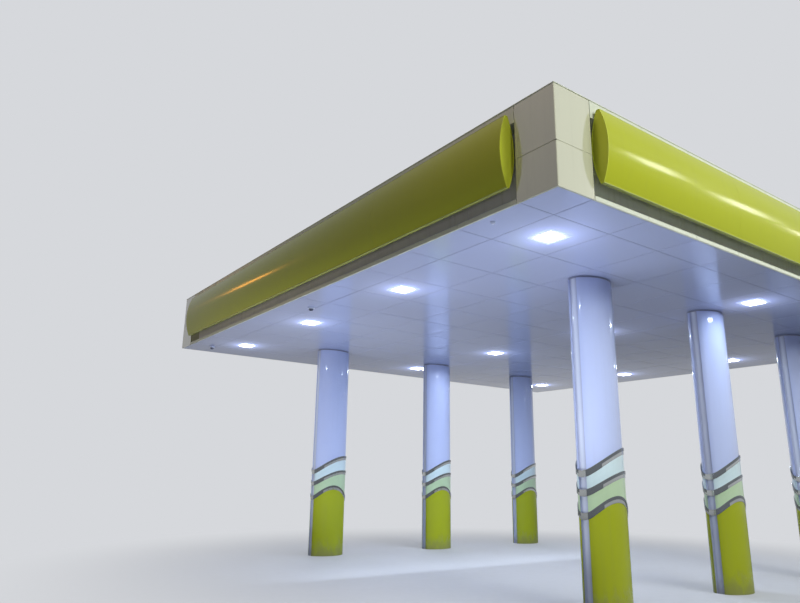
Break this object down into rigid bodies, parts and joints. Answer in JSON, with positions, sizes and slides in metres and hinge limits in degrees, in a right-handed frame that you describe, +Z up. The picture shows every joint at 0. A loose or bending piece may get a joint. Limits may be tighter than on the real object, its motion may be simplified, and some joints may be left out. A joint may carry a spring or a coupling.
{
  "type": "filling station canopy",
  "caption": "Flat roof on two rows of oval columns, with pointed-oval light boxes let into its edge band, a panelled ceiling with square lights, and wave-trimmed column sleeves.",
  "frame": {"origin": "middle of the plan, on the ground under the column feet", "axes": "+X along the longer edges, +Y along the shorter edges towards the back, +Z up"},
  "size_m": [13.7766, 13.0266, 6.32],
  "materials": {
    "frame_steel": "satin",
    "cladding_white": "gloss",
    "strip_grey": "satin",
    "sleeve_green": "gloss",
    "sleeve_light_green": "gloss",
    "sleeve_pale_green": "gloss",
    "trim_steel": "polished",
    "collar_dark": "matt",
    "ceiling_white": "gloss",
    "light_rim": "satin",
    "light_lens": "lit",
    "dome_dark": "gloss",
    "roof_sheet": "satin",
    "band_ivory": "gloss",
    "recess_grey": "satin",
    "sign_green": "gloss",
    "sign_cap_green": "satin"
  },
  "bodies": {
    "root": {"column_cores": "frame_steel", "column_strips": "strip_grey", "sleeve_bands_green": "sleeve_light_green", "sleeve_bands_pale": "sleeve_pale_green", "wave_trims": "trim_steel", "column_collars": "collar_dark", "main_beams": "frame_steel", "purlins": "frame_steel", "ceiling_rails": "frame_steel", "ceiling_1": "ceiling_white", "ceiling_2": "ceiling_white", "ceiling_3": "ceiling_white", "light_trays": "light_rim", "light_lenses": "light_lens", "camera_bases": "light_rim", "camera_domes": "dome_dark", "roof_deck": "roof_sheet", "roof_gutter": "roof_sheet", "parapet_lining": "roof_sheet", "band_posts": "frame_steel", "roof_cap": "band_ivory", "band_strips": "band_ivory", "recess_backs": "recess_grey", "sign_end_caps": "sign_cap_green", "sign_brackets": "frame_steel", "column_cladding_1": "cladding_white", "column_sleeve_1": "sleeve_green", "column_cladding_2": "cladding_white", "column_sleeve_2": "sleeve_green", "column_cladding_3": "cladding_white", "column_sleeve_3": "sleeve_green", "column_cladding_4": "cladding_white", "column_sleeve_4": "sleeve_green", "column_cladding_5": "cladding_white", "column_sleeve_5": "sleeve_green", "column_cladding_6": "cladding_white", "column_sleeve_6": "sleeve_green", "corner_panel_1": "band_ivory", "corner_panel_2": "band_ivory", "corner_panel_3": "band_ivory", "corner_panel_4": "band_ivory", "sign_box_front": "sign_green", "sign_box_right": "sign_green", "sign_box_back": "sign_green", "sign_box_left": "sign_green"}
  },
  "joints": []
}
